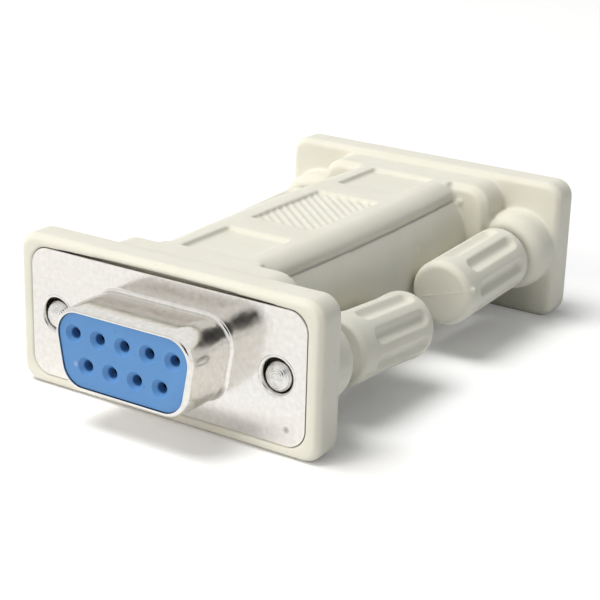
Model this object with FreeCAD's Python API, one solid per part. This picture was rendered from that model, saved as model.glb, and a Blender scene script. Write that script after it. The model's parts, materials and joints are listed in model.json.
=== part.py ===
"""Null modem adapter: two nine-way D-sub sockets back to back in one moulded jacket, with four thumbscrews.

Millimetres. X runs across the width, Y along the length from the front socket (at -Y) to the rear one, and
Z is up. The origin is under the centre of the adapter, on the surface that its two end plates stand on. A
depth is measured along Y from the face of the front flange into the adapter.
"""
import FreeCAD, Part
import math
import os

from FreeCAD import Vector

# Jacket: the overmoulded plates, collars, bosses and body
JACKET_LENGTH = 50.0
PLATE_WIDTH = 34.0
PLATE_HEIGHT = 15.0
PLATE_THICKNESS = 3.5
PLATE_CORNER = 1.8
PLATE_EDGE = 0.5
COLLAR_WIDTH = 20.8
COLLAR_CORNER = 2.4
COLLAR_LENGTH = 4.0
COLLAR_EDGE = 0.7
BOSS_RADIUS = 4.2
BOSS_LENGTH = 3.4
BOSS_EDGE = 0.7
BODY_HEIGHT = 13.7
BODY_WIDTH = 17.6
BODY_SHOULDER = 1.95
BODY_GROOVE_WIDTH = 14.2
BODY_BOW = 0.65
BODY_SPANS = 4

# Recesses and ribs in the top of the body
POCKET_WIDTH = 7.2
POCKET_DEPTH = 0.42
END_POCKET_LENGTH = 7.5
GRIP_POCKET_LENGTH = 12.0
RIB_HEIGHT = 0.28
RIB_WIDTH = 0.42
RIB_PITCH = 1.15
RIB_SLANT_DEG = 48.0

# D-sub connector, the same at both ends
SCREW_SPACING = 25.0
FLANGE_WIDTH = 30.8
FLANGE_HEIGHT = 12.5
FLANGE_CORNER = 1.8
SHEET = 0.4
RECESS_GAP = 0.1
RIM_BOW = 0.3
SHELL_WIDTH = 16.3
SHELL_HEIGHT = 7.9
SHELL_CORNER = 2.6
SHELL_REACH = 5.8
SHELL_ROOT = 0.55
SHELL_RIM = 0.25
D_SLOPE_DEG = 10.0
CAN_WIDTH = 18.2
CAN_HEIGHT = 9.6
CAN_CORNER = 2.0
CAN_DEPTH = 5.0
CAN_MOUTH_WIDTH = 13.6
CAN_MOUTH_HEIGHT = 6.0
CAN_MOUTH_CORNER = 1.0

# Insulator and contacts
FACE_SETBACK = 0.15
CONTACT_PITCH = 2.77
ROW_SPACING = 2.84
CONTACT_SIDES = 8
CONTACT_RADIUS = 0.72
CONTACT_SETBACK = 1.2
CONTACT_END_DEPTH = 8.0
PIN_BORE_RADIUS = 0.5
PIN_BORE_LENGTH = 5.5
MOUTH_RADIUS = 0.88
MOUTH_LENGTH = 0.5

# Eyelets through the flange, and the thumbscrews' way through the jacket
EYELET_RADIUS = 2.0
EYELET_SIDES = 24
EYELET_BORE = 1.62
EYELET_MOUTH_RADIUS = 1.9
EYELET_MOUTH_DEPTH = 0.35
EYELET_PROUD = 0.05
EYELET_LENGTH = 1.25
PASSAGE_RADIUS = 2.2

# Thumbscrews
KNOB_RADIUS = 3.4
KNOB_SIDES = 32
KNOB_LENGTH = 13.2
KNOB_DOME = 0.9
DOME_STEPS = 3
KNOB_FOOT_RADIUS = 3.05
KNOB_FOOT_LENGTH = 0.8
KNOB_FIT = 0.05
FLUTE_COUNT = 8
FLUTE_RADIUS = 0.85
FLUTE_DEPTH = 0.5
FLUTE_START = 1.9
FLUTE_END = 11.5
FLUTE_RAMP = 0.7
FLUTE_LEANS_DEG = (-85.0, -25.0, 25.0, 85.0)
SCREW_RADIUS = 1.42
SCREW_SIDES = 20
SCREW_CHAMFER = 0.4
SCREW_REACH = 9.5
SCREW_GRIP = 6.0

# How the loose thumbscrews lie: gap behind the boss, sag of the axis in degrees, its rise at the flange face
# and the knob's turn in degrees
FRONT_LIE = {"gap": 2.3, "sag": 4.4, "rise": -0.08, "turn": 30.0}
REAR_LIE = {"gap": 0.75, "sag": 2.2, "rise": 0.1, "turn": 37.0}

# Sleeve round the wires, and the wires
SLEEVE_WIDTH = 14.6
SLEEVE_HEIGHT = 7.4
SLEEVE_CORNER = 1.6
SLEEVE_WALL = 0.6
WIRE_RADIUS = 0.45
LINK_RADIUS = 0.3
LINK_SETBACK = 1.0
WIRE_LEAD = 0.8
CROSSING_RUN = 4.0
CROSSING_OFFSET = 0.4

# Places worked out from the sizes above
AXIS_Z = PLATE_HEIGHT / 2
FRONT_Y = -JACKET_LENGTH / 2
FLANGE_DEPTH = 2 * SHEET
BOSS_DEPTH = PLATE_THICKNESS + BOSS_LENGTH
COLLAR_DEPTH = PLATE_THICKNESS + COLLAR_LENGTH
FACE_DEPTH = FACE_SETBACK - SHELL_REACH
CONTACT_DEPTH = FACE_DEPTH + CONTACT_SETBACK
ALONG = Vector(0, 1, 0)
UP = Vector(0, 0, 1)
SAME_PLACE = 1e-4

# Contact number to its column, counted in pitches from the middle, seen from in front of the socket
TOP_ROW = {1: 2, 2: 1, 3: 0, 4: -1, 5: -2}
BOTTOM_ROW = {6: 1.5, 7: 0.5, 8: -0.5, 9: -1.5}

# Null modem wiring, front contact to rear contact
WIRING = {2: 3, 3: 2, 4: 6, 5: 5, 6: 4, 7: 8, 8: 7}
GROUND = 5
LATE_CROSSING = 4
EARLY_CROSSING = 6
LINKED = (1, 6)


def polygon(points):
    """Closed wire through the points."""
    return Part.makePolygon(points + points[:1])


def at_depth(corners, depth):
    """Points at one depth from (x, z) pairs."""
    return [Vector(x, FRONT_Y + depth, z) for x, z in corners]


def corner_cuts(points, size):
    """For each corner, where a cut that starts this far along both its sides begins and ends."""
    cuts = []
    for index, corner in enumerate(points):
        back = (points[index - 1] - corner).normalize()
        ahead = (points[(index + 1) % len(points)] - corner).normalize()
        cuts.append((corner + back * size, corner + ahead * size))
    return cuts


def cut_outline(points, size):
    """Closed wire with each corner cut straight across."""
    return polygon([point for cut in corner_cuts(points, size) for point in cut])


def round_outline(points, radius):
    """Closed wire with each corner rounded."""
    edges = []
    for index, corner in enumerate(points):
        back = (points[index - 1] - corner).normalize()
        ahead = (points[(index + 1) % len(points)] - corner).normalize()
        half = back.getAngle(ahead) / 2
        start = corner + back * (radius / math.tan(half))
        end = corner + ahead * (radius / math.tan(half))
        middle = corner + (back + ahead).normalize() * (radius / math.sin(half) - radius)
        if edges:
            edges.append(Part.makeLine(edges[-1].Vertexes[-1].Point, start))
        edges.append(Part.Arc(start, middle, end).toShape())
    edges.append(Part.makeLine(edges[-1].Vertexes[-1].Point, edges[0].Vertexes[0].Point))
    return Part.Wire(edges)


def pushed(outline, length):
    """Solid made by pushing a closed outline along Y."""
    return Part.Face(outline).extrude(ALONG * length)


def round_block(corners, radius, depth, end_depth):
    """Block between two depths with rounded corners."""
    return pushed(round_outline(at_depth(corners, depth), radius), end_depth - depth)


def cut_block(corners, size, depth, end_depth):
    """Block between two depths with corners cut across, for pieces that are out of sight."""
    return pushed(cut_outline(at_depth(corners, depth), size), end_depth - depth)


def rectangle(width, height):
    """Corners of a rectangle centred on the connector's axis."""
    return [(x * width / 2, AXIS_Z + z * height / 2) for x, z in ((-1, -1), (1, -1), (1, 1), (-1, 1))]


def d_shape(width, height):
    """Corners of a D-sub outline: widest at the top, with sides that slope in towards the bottom."""
    narrow = width - 2 * height * math.tan(math.radians(D_SLOPE_DEG))
    low = AXIS_Z - height / 2
    high = AXIS_Z + height / 2
    return [(-narrow / 2, low), (narrow / 2, low), (width / 2, high), (-width / 2, high)]


def inset_d(width, height, inset):
    """The same outline smaller by an inset all round."""
    return d_shape(width - 2 * inset, height - 2 * inset)


def rod(radius, depth, end_depth, x=0.0):
    """Round bar on the connector's axis height between two depths."""
    return Part.makeCylinder(radius, end_depth - depth, Vector(x, FRONT_Y + depth, AXIS_Z), ALONG)


def ring(x, z, radius, depth, sides=CONTACT_SIDES):
    """Corners of a many-sided outline round an axis along Y."""
    angles = [2 * math.pi * (side + 0.5) / sides for side in range(sides)]
    return [Vector(x + radius * math.cos(a), FRONT_Y + depth, z + radius * math.sin(a)) for a in angles]


def around(radius, sides=CONTACT_SIDES):
    """Radius of a many-sided hole that a round bar just passes."""
    return radius / math.cos(math.pi / sides)


def pin(x, z, radius, depth, end_depth, sides=CONTACT_SIDES):
    """Many-sided bar along Y, for the small parts that repeat most."""
    return pushed(polygon(ring(x, z, radius, depth, sides)), end_depth - depth)


def tapered(x, z, profile, sides=CONTACT_SIDES):
    """Many-sided bar along Y whose radius follows (radius, depth) pairs."""
    rings = [ring(x, z, radius, depth, sides) for radius, depth in profile]
    outlines = [rings[0], rings[-1]]
    for near, far in zip(rings, rings[1:]):
        outlines += [[near[side - 1], near[side], far[side], far[side - 1]] for side in range(sides)]
    return Part.Solid(Part.Shell([Part.Face(polygon(outline)) for outline in outlines]))


def edges_at_depth(shape, depth):
    """Edges that lie wholly at one depth."""
    y = FRONT_Y + depth
    boxes = [(edge, edge.BoundBox) for edge in shape.Edges]
    return [edge for edge, box in boxes if max(abs(box.YMin - y), abs(box.YMax - y)) < SAME_PLACE]


def at_rear(shape):
    """The same piece at the other end: half a turn about the vertical axis."""
    turned_shape = shape.copy()
    turned_shape.rotate(Vector(0, 0, 0), UP, 180)
    return turned_shape


def both_ends(shapes):
    """Front features and their twins at the rear."""
    return list(shapes) + [at_rear(shape) for shape in shapes]


def contact_place(number):
    """X and Z of a contact at the front socket."""
    if number in TOP_ROW:
        return TOP_ROW[number] * CONTACT_PITCH, AXIS_Z + ROW_SPACING / 2
    return BOTTOM_ROW[number] * CONTACT_PITCH, AXIS_Z - ROW_SPACING / 2


def contact_numbers():
    """All nine contacts."""
    return sorted([*TOP_ROW, *BOTTOM_ROW])


def body_section():
    """Section of the waist at mid-length: flat top, rolled shoulder, sharp groove and swollen side."""
    top = BODY_HEIGHT / 2
    groove_x = BODY_GROOVE_WIDTH / 2
    groove_z = top - BODY_SHOULDER
    flat_x = groove_x - BODY_SHOULDER
    roll = BODY_SHOULDER * math.sqrt(0.5)

    def point(x, z):
        return Vector(x, 0, AXIS_Z + z)

    def arc(start, middle, end):
        return Part.Arc(point(*start), point(*middle), point(*end)).toShape()

    return Part.Wire([
        Part.makeLine(point(-flat_x, top), point(flat_x, top)),
        arc((flat_x, top), (flat_x + roll, groove_z + roll), (groove_x, groove_z)),
        arc((groove_x, groove_z), (BODY_WIDTH / 2, 0), (groove_x, -groove_z)),
        arc((groove_x, -groove_z), (flat_x + roll, -groove_z - roll), (flat_x, -top)),
        Part.makeLine(point(flat_x, -top), point(-flat_x, -top)),
        Part.makeLine(point(-flat_x, -top), point(-flat_x, top)),
    ])


def body():
    """Waist between the collars. Its sides bow outwards in straight spans that meet in mitres."""
    reach = JACKET_LENGTH / 2 - (PLATE_THICKNESS + COLLAR_DEPTH) / 2
    shares = [2 * index / BODY_SPANS - 1 for index in range(BODY_SPANS + 1)]
    stations = [Vector(-BODY_BOW * share ** 2, reach * share, 0) for share in shares]
    runs = [end - start for start, end in zip(stations, stations[1:])]
    mitres = []
    for before, after in zip(runs[:1] + runs, runs + runs[-1:]):
        mitres.append((before / before.Length + after / after.Length).cross(UP) * PLATE_WIDTH)
    section = Part.Face(body_section())
    spans = []
    for index, (start, run) in enumerate(zip(stations, runs)):
        square = section.copy()
        square.rotate(Vector(0, 0, 0), UP, -math.degrees(math.atan2(run.x, run.y)))
        square.translate(start - run)
        end = start + run
        near = mitres[index]
        far = mitres[index + 1]
        plan = polygon([start - near, start + near, end + far, end - far])
        spans.append(square.extrude(run * 3).common(Part.Face(plan).extrude(UP * PLATE_HEIGHT)))
    return spans[0].multiFuse(both_ends(spans)[1:]).removeSplitter()


def end_plate():
    """Plate that the connector's flange sits in, with softened edges."""
    plate = round_block(rectangle(PLATE_WIDTH, PLATE_HEIGHT), PLATE_CORNER, 0, PLATE_THICKNESS)
    return plate.makeChamfer(PLATE_EDGE, edges_at_depth(plate, 0) + edges_at_depth(plate, PLATE_THICKNESS))


def collar():
    """Block between the end plate and the waist."""
    outline = rectangle(COLLAR_WIDTH, BODY_HEIGHT)
    block = round_block(outline, COLLAR_CORNER, PLATE_THICKNESS / 2, COLLAR_DEPTH)
    return block.makeChamfer(COLLAR_EDGE, edges_at_depth(block, COLLAR_DEPTH))


def boss(side):
    """Round boss that a thumbscrew passes through."""
    post = rod(BOSS_RADIUS, PLATE_THICKNESS / 2, BOSS_DEPTH, side * SCREW_SPACING / 2)
    return post.makeChamfer(BOSS_EDGE, edges_at_depth(post, BOSS_DEPTH))


def pocket(y_start, y_end, depth=POCKET_DEPTH):
    """Recess in the top of the body between two places along Y."""
    corner = Vector(-POCKET_WIDTH / 2, y_start, AXIS_Z + BODY_HEIGHT / 2 - depth)
    return Part.makeBox(POCKET_WIDTH, y_end - y_start, depth + POCKET_DEPTH, corner)


def pockets():
    """Three shallow recesses in the top: one at each end of the waist, and the ribbed one between them."""
    reach = JACKET_LENGTH / 2 - COLLAR_DEPTH
    end_pocket = pocket(-reach, END_POCKET_LENGTH - reach)
    return both_ends([end_pocket]) + [pocket(-GRIP_POCKET_LENGTH / 2, GRIP_POCKET_LENGTH / 2)]


def ribs():
    """Slanting ribs on the floor of the middle pocket, triangular in section."""
    floor = AXIS_Z + BODY_HEIGHT / 2 - POCKET_DEPTH
    slant = math.radians(RIB_SLANT_DEG)
    run = Vector(-math.sin(slant), math.cos(slant), 0)
    across = Vector(math.cos(slant), math.sin(slant), 0)
    reach = POCKET_WIDTH / math.sin(slant) + RIB_WIDTH
    count = int(GRIP_POCKET_LENGTH / RIB_PITCH / 2 + POCKET_WIDTH / math.tan(slant) / RIB_PITCH / 2)
    room = pocket(-GRIP_POCKET_LENGTH / 2, GRIP_POCKET_LENGTH / 2, 2 * POCKET_DEPTH)
    made = []
    for index in range(-count, count + 1):
        start = Vector(0, index * RIB_PITCH, floor) - run * (reach / 2)
        foot = start - UP * (POCKET_DEPTH / 2)
        crest = start + UP * RIB_HEIGHT
        half = across * (RIB_WIDTH / 2)
        section = Part.Face(polygon([foot - half, start - half, crest, start + half, foot + half]))
        made.append(section.extrude(run * reach).common(room))
    return made


def flange_recess():
    """Seat for the connector's flange, with its upper rim bowed up a little off the metal."""
    width = FLANGE_WIDTH + 2 * RECESS_GAP
    height = FLANGE_HEIGHT + 2 * RECESS_GAP
    seat = round_block(rectangle(width, height), FLANGE_CORNER, -1, FLANGE_DEPTH)
    span = width / 2 - FLANGE_CORNER
    top = AXIS_Z + height / 2
    left, crown, right = at_depth([(-span, top), (0, top + RIM_BOW), (span, top)], -1)
    bow = Part.Wire([Part.Arc(left, crown, right).toShape(), Part.makeLine(right, left)])
    return seat.fuse(pushed(bow, 1 + FLANGE_DEPTH)).removeSplitter()


def sleeve_block(inset=0.0):
    """Block between the two cans, smaller by an inset all round."""
    corners = rectangle(SLEEVE_WIDTH - 2 * inset, SLEEVE_HEIGHT - 2 * inset)
    return cut_block(corners, SLEEVE_CORNER - inset / 2, CAN_DEPTH, JACKET_LENGTH - CAN_DEPTH)


def outer_jacket():
    """The whole overmoulding: one piece, hollow where the connectors and the sleeve are."""
    fronts = [end_plate(), collar(), boss(-1), boss(1)]
    whole = body().multiFuse(both_ends(fronts))
    whole = whole.cut(pockets()).multiFuse(ribs())
    hollows = [flange_recess(), cut_block(d_shape(CAN_WIDTH, CAN_HEIGHT), CAN_CORNER, 0, CAN_DEPTH)]
    for side in (-1, 1):
        hollows.append(pin(side * SCREW_SPACING / 2, AXIS_Z, around(PASSAGE_RADIUS), 0, COLLAR_DEPTH))
    return whole.cut(both_ends(hollows) + [sleeve_block()]).removeSplitter()


def eyelet_bar(side, radius):
    """Bar as long as an eyelet, on the axis of one thumbscrew."""
    end_depth = EYELET_LENGTH - EYELET_PROUD
    return pin(side * SCREW_SPACING / 2, AXIS_Z, radius, -EYELET_PROUD, end_depth, EYELET_SIDES)


def front_flange():
    """Flat flange of the shell's front half, with its two eyelet holes."""
    plate = round_block(rectangle(FLANGE_WIDTH, FLANGE_HEIGHT), FLANGE_CORNER, 0, SHEET)
    return plate.cut([eyelet_bar(side, EYELET_RADIUS) for side in (-1, 1)])


def back_flange():
    """Flat flange of the shell's back half, out of sight behind the front one."""
    plate = cut_block(rectangle(FLANGE_WIDTH, FLANGE_HEIGHT), FLANGE_CORNER, SHEET, FLANGE_DEPTH)
    return plate.cut([eyelet_bar(side, EYELET_RADIUS) for side in (-1, 1)])


def socket_shell():
    """Drawn front shell: flange and the D-shaped tube that guides the plug, eased at its root and its rim."""
    outline = d_shape(SHELL_WIDTH, SHELL_HEIGHT)
    tube = round_block(outline, SHELL_CORNER, -SHELL_REACH, 0)
    tube = tube.makeChamfer(SHELL_RIM, edges_at_depth(tube, -SHELL_REACH))
    shell = front_flange().fuse(tube)
    room = SHELL_WIDTH / 2 + SHELL_ROOT
    face_edges = [(edge, edge.BoundBox) for edge in edges_at_depth(shell, 0)]
    roots = [edge for edge, box in face_edges if -room < box.XMin and box.XMax < room]
    shell = shell.makeChamfer(SHELL_ROOT, roots)
    hollow = round_block(inset_d(SHELL_WIDTH, SHELL_HEIGHT, SHEET), SHELL_CORNER - SHEET, -SHELL_REACH, SHEET)
    return shell.cut(hollow).removeSplitter()


def back_shell():
    """Back half of the connector's shell: flange, and the can that closes over the insulator."""
    can = cut_block(d_shape(CAN_WIDTH, CAN_HEIGHT), CAN_CORNER, FLANGE_DEPTH, CAN_DEPTH)
    room = cut_block(inset_d(CAN_WIDTH, CAN_HEIGHT, SHEET), CAN_CORNER, SHEET, CAN_DEPTH - SHEET)
    mouth = cut_block(rectangle(CAN_MOUTH_WIDTH, CAN_MOUTH_HEIGHT), CAN_MOUTH_CORNER, SHEET, CAN_DEPTH)
    return back_flange().fuse(can).cut([room, mouth]).removeSplitter()


def insulator():
    """Block that holds the nine contacts, with a wider mouth where each pin enters."""
    face = inset_d(SHELL_WIDTH, SHELL_HEIGHT, SHEET)
    block = round_block(face, SHELL_CORNER - SHEET, FACE_DEPTH, SHEET)
    block = block.fuse(cut_block(inset_d(CAN_WIDTH, CAN_HEIGHT, SHEET), CAN_CORNER, SHEET, CAN_DEPTH - SHEET))
    cuts = []
    for number in contact_numbers():
        x, z = contact_place(number)
        cuts.append(tapered(x, z, [(MOUTH_RADIUS, FACE_DEPTH), (CONTACT_RADIUS, FACE_DEPTH + MOUTH_LENGTH)]))
        cuts.append(pin(x, z, CONTACT_RADIUS, FACE_DEPTH, CAN_DEPTH))
    return block.cut(cuts)


def contact(number):
    """Socket contact: bored for the pin in front, with a tail for the wire behind."""
    x, z = contact_place(number)
    barrel = pin(x, z, CONTACT_RADIUS, CONTACT_DEPTH, CONTACT_END_DEPTH)
    return barrel.cut(pin(x, z, PIN_BORE_RADIUS, CONTACT_DEPTH, CONTACT_DEPTH + PIN_BORE_LENGTH))


def eyelet(side):
    """Tubular rivet through both flanges, with a flared mouth."""
    flare = [(EYELET_MOUTH_RADIUS, -EYELET_PROUD), (EYELET_BORE, EYELET_MOUTH_DEPTH - EYELET_PROUD)]
    mouth = tapered(side * SCREW_SPACING / 2, AXIS_Z, flare, EYELET_SIDES)
    return eyelet_bar(side, EYELET_RADIUS).cut([eyelet_bar(side, EYELET_BORE), mouth])


def wire_route(number):
    """Corners of a wire's route. Three wires change rows or sides, in turn, so that no two meet."""
    x, z = contact_place(number)
    rear_x, rear_z = contact_place(WIRING[number])
    start = Vector(x, FRONT_Y + CONTACT_END_DEPTH, z)
    end = Vector(-rear_x, -start.y, rear_z)
    lead = ALONG * WIRE_LEAD
    if number == GROUND:
        step = Vector(CROSSING_OFFSET, CROSSING_RUN, AXIS_Z - z)
        return [start, start + lead, start + step, end + Vector(-step.x, -step.y, step.z), end - lead, end]
    if number == LATE_CROSSING:
        return [start, Vector(x, 0, z), end - lead, end]
    if number == EARLY_CROSSING:
        return [start, start + lead, Vector(end.x, 0, end.z), end]
    return [start, end]


def wire(number):
    """One insulated wire in straight runs with mitred bends."""
    route = wire_route(number)
    outline = polygon(ring(route[0].x, route[0].z, WIRE_RADIUS, CONTACT_END_DEPTH))
    mitred = 1
    return Part.makePolygon(route).makePipeShell([outline], True, False, mitred)


def link():
    """Bare jumper between the tails of the two linked contacts."""
    depth = CONTACT_END_DEPTH - LINK_SETBACK
    start, end = at_depth([contact_place(number) for number in LINKED], depth)
    run = end - start
    half = run.cross(ALONG).normalize() * LINK_RADIUS
    rise = ALONG * LINK_RADIUS
    bar = Part.Face(polygon([start + half, start + rise, start - half, start - rise])).extrude(run)
    return bar.cut([pin(*contact_place(number), CONTACT_RADIUS, 0, CONTACT_END_DEPTH) for number in LINKED])


def inner_sleeve():
    """Rigid sleeve that keeps the moulding off the wires."""
    return sleeve_block().cut(sleeve_block(SLEEVE_WALL))


def flute(index):
    """Cutter for one scallop along the knob, which climbs out of the surface at both ends."""
    angle = 2 * math.pi * index / FLUTE_COUNT
    radial = Vector(math.cos(angle), 0, math.sin(angle))
    tangent = Vector(-math.sin(angle), 0, math.cos(angle))
    level = FLUTE_END - FLUTE_START - 2 * FLUTE_RAMP
    start = Vector(0, FRONT_Y + FLUTE_START + FLUTE_RAMP, AXIS_Z)
    centre = start + radial * (KNOB_RADIUS + FLUTE_RADIUS - FLUTE_DEPTH)
    scallop = []
    for lean_deg in FLUTE_LEANS_DEG:
        lean = math.radians(lean_deg)
        scallop.append(centre + (tangent * math.sin(lean) - radial * math.cos(lean)) * FLUTE_RADIUS)
    section = Part.Face(polygon(scallop))
    far_section = section.copy()
    far_section.translate(ALONG * level)
    climb = radial * FLUTE_DEPTH
    return [section.extrude(ALONG * level), section.extrude(climb - ALONG * FLUTE_RAMP),
            far_section.extrude(climb + ALONG * FLUTE_RAMP)]


def knob():
    """Fluted knob before it is laid on its axis: its foot is at depth zero and it is bored for the screw."""
    profile = [(KNOB_FOOT_RADIUS, 0), (KNOB_RADIUS, KNOB_FOOT_LENGTH)]
    for step in range(DOME_STEPS + 1):
        angle = math.pi / 2 * step / DOME_STEPS
        radius = KNOB_RADIUS - KNOB_DOME * (1 - math.cos(angle))
        profile.append((radius, KNOB_LENGTH - KNOB_DOME * (1 - math.sin(angle))))
    cuts = [pin(0, AXIS_Z, around(SCREW_RADIUS + KNOB_FIT), 0, SCREW_GRIP)]
    for index in range(FLUTE_COUNT):
        cuts += flute(index)
    return tapered(0, AXIS_Z, profile, KNOB_SIDES).cut(cuts)


def screw():
    """Steel screw before it is laid on its axis: the foot of its knob is at depth zero."""
    tip = [(SCREW_RADIUS - SCREW_CHAMFER, -SCREW_REACH), (SCREW_RADIUS, SCREW_CHAMFER - SCREW_REACH)]
    return tapered(0, AXIS_Z, tip + [(SCREW_RADIUS, SCREW_GRIP)], SCREW_SIDES)


def laid(shape, side, gap, sag, rise, turn):
    """Lays a thumbscrew piece on its own axis, which sags behind the flange because the screw is loose."""
    origin = Vector(0, FRONT_Y, AXIS_Z)
    placed = shape.copy()
    placed.rotate(origin, ALONG, -turn)
    placed.translate(ALONG * (BOSS_DEPTH + gap))
    placed.rotate(origin, Vector(1, 0, 0), -sag)
    placed.translate(Vector(side * SCREW_SPACING / 2, 0, rise))
    return placed


def thumbscrews():
    """The four knobs and their screws, by name."""
    made = {}
    for piece_name, shape in (("knob", knob()), ("screw", screw())):
        for side, side_name in ((-1, "left"), (1, "right")):
            made[f"front_{side_name}_{piece_name}"] = laid(shape, side, **FRONT_LIE)
            made[f"rear_{side_name}_{piece_name}"] = at_rear(laid(shape, -side, **REAR_LIE))
    return made


def connector():
    """Every piece of the front D-sub socket, by name without its end."""
    pieces = {
        "socket_shell": socket_shell(),
        "back_shell": back_shell(),
        "insulator": insulator(),
        "link_1_6": link(),
    }
    for number in contact_numbers():
        pieces[f"contact_{number}"] = contact(number)
    return pieces


def model():
    """Every piece of the adapter, by name."""
    pieces = {"outer_jacket": outer_jacket(), "inner_sleeve": inner_sleeve()}
    for number in WIRING:
        pieces[f"wire_{number}_to_{WIRING[number]}"] = wire(number)
    for name, shape in connector().items():
        pieces[f"front_{name}"] = shape
        pieces[f"rear_{name}"] = at_rear(shape)
    for side, side_name in ((-1, "left"), (1, "right")):
        pieces[f"front_{side_name}_eyelet"] = eyelet(side)
        pieces[f"rear_{side_name}_eyelet"] = at_rear(eyelet(-side))
    pieces.update(thumbscrews())
    return pieces


os.makedirs("parts", exist_ok=True)
for name, shape in model().items():
    shape.exportStep(f"parts/{name}.step")
    print(name, "solids", len(shape.Solids), "valid", shape.isValid(), "volume", round(shape.Volume, 2))
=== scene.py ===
"""Looks of the null modem adapter: smooth visible surfaces, materials, camera, light and floor.

Metres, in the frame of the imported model. The connector pieces are made once for the front end, and the rear
ones are the same after half a turn about the vertical axis.
"""

import json
import math

import bmesh
import bpy
from mathutils import Matrix, Vector


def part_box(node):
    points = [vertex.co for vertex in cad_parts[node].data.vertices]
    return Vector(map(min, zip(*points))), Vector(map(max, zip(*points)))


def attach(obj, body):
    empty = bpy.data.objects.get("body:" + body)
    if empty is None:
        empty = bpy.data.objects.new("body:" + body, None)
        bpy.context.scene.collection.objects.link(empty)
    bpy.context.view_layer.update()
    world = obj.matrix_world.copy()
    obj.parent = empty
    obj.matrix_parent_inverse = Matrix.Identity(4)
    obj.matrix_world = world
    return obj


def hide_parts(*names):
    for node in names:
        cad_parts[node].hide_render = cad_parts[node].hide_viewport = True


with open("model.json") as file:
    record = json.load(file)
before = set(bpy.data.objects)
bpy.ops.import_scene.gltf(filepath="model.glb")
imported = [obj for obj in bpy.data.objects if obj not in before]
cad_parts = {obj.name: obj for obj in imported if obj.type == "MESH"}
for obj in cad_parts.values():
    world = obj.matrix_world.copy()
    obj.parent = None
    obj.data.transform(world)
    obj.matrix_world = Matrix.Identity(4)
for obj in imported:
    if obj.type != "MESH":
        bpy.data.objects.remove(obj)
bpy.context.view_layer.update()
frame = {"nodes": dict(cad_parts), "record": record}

MM = 0.001

# Camera, fitted to the photograph
CAMERA_PLACE = Vector((85.91, -134.97, 62.0)) * MM
CAMERA_AZIMUTH_DEG = 32.94
CAMERA_ELEVATION_DEG = 19.74
CAMERA_ROLL_DEG = 1.69
CAMERA_LENS_MM = 99.37
SENSOR_MM = 36.0

# Places taken from the frame
JACKET_LOW, JACKET_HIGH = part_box("outer_jacket")
AXIS_Z = (JACKET_LOW.z + JACKET_HIGH.z) / 2
FRONT_Y = JACKET_LOW.y
FLANGE_LOW, FLANGE_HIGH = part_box("front_socket_shell")
SHELL_REACH = FRONT_Y - FLANGE_LOW.y
SHEET = FLANGE_HIGH.y - FRONT_Y
EYELET_LOW, EYELET_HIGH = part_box("front_right_eyelet")
EYELET_X = (EYELET_LOW.x + EYELET_HIGH.x) / 2
EYELET_RADIUS = (EYELET_HIGH.z - EYELET_LOW.z) / 2
CONTACT_RADIUS = (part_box("front_contact_1")[1].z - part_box("front_contact_1")[0].z) / 2
CONTACT_COUNT = 9

# The two ends, each with the direction of its own right, and the sides of an end
ACROSS = {"front": Vector((1, 0, 0)), "rear": Vector((-1, 0, 0))}
SIDES = ("left", "right")

# Fineness of the rounded edges, and the angle from which an edge counts as sharp
ARC_STEPS = 12
RIM_STEPS = 6
EDGE_STEPS = 4
SHARP_DEG = 35.0
MERGE_DISTANCE = 0.001 * MM

# D-shaped tube and flange of the shell
SHELL_WIDTH = 16.3 * MM
SHELL_HEIGHT = 7.9 * MM
SHELL_CORNER = 2.6 * MM
D_SLOPE_DEG = 10.0
ROOT_FILLET = 0.36 * MM
TUBE_CROWN = 0.13 * MM
CROWN_ROWS = 10
RIM_ROUND = 0.42 * MM
FLANGE_CORNER = 1.8 * MM
FLANGE_EDGE = 0.08 * MM
FLANGE_GROWTH = 0.09 * MM

# Face of the insulator and the mouths of its contact holes
FACE_GAP = 0.03 * MM
FACE_ROUND = 0.1 * MM
MOUTH_OUTER = 0.90 * MM
MOUTH_THROAT = 0.52 * MM
MOUTH_DEPTH = 0.36 * MM
MOUTH_END = 1.3 * MM
MOUTH_SEGMENTS = 40
MOUTH_STEPS = 5

# Moulded jacket, in millimetres while its edges are eased
VOXEL = 0.13
EASE_FACTOR = 0.5
EASE_STEPS = 14
THINNING = 0.2
PLATE = 3.5
COLLAR_HALF = 10.4
BOSS_LENGTH = 3.4
BOSS_RADIUS = 4.2
BOSS_ROUND = 1.3
BOSS_DROP = 1.9
WAIST_HALF = 17.5
WAIST_BOW = 0.65
WAIST_BOW_REACH = 19.5
SHOULDER_RADIUS = 1.95
SHOULDER_START = 4.85
SHOULDER_FADE = 0.7
GROOVE_X = 7.1
GROOVE_Z = 4.9
GROOVE_DEPTH = 0.3
GROOVE_ABOVE = 1.2
SKIN = 0.25
RIB_FLOOR = 13.93
RIB_SPAN = Vector((3.55, 5.95))
RIB_SOFTENING = 0.7
GATE_NUB = Vector((7.1, 17.3, 12.4))
GATE_NUB_RADIUS = 0.45
GATE_NUB_HEIGHT = 0.3

# Eyelets
EYELET_BORE = 1.6 * MM
EYELET_LIP = 0.12 * MM
EYELET_FLARE = 0.45 * MM
EYELET_PROUD = 0.05 * MM
EYELET_LENGTH = 0.95 * MM

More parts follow.
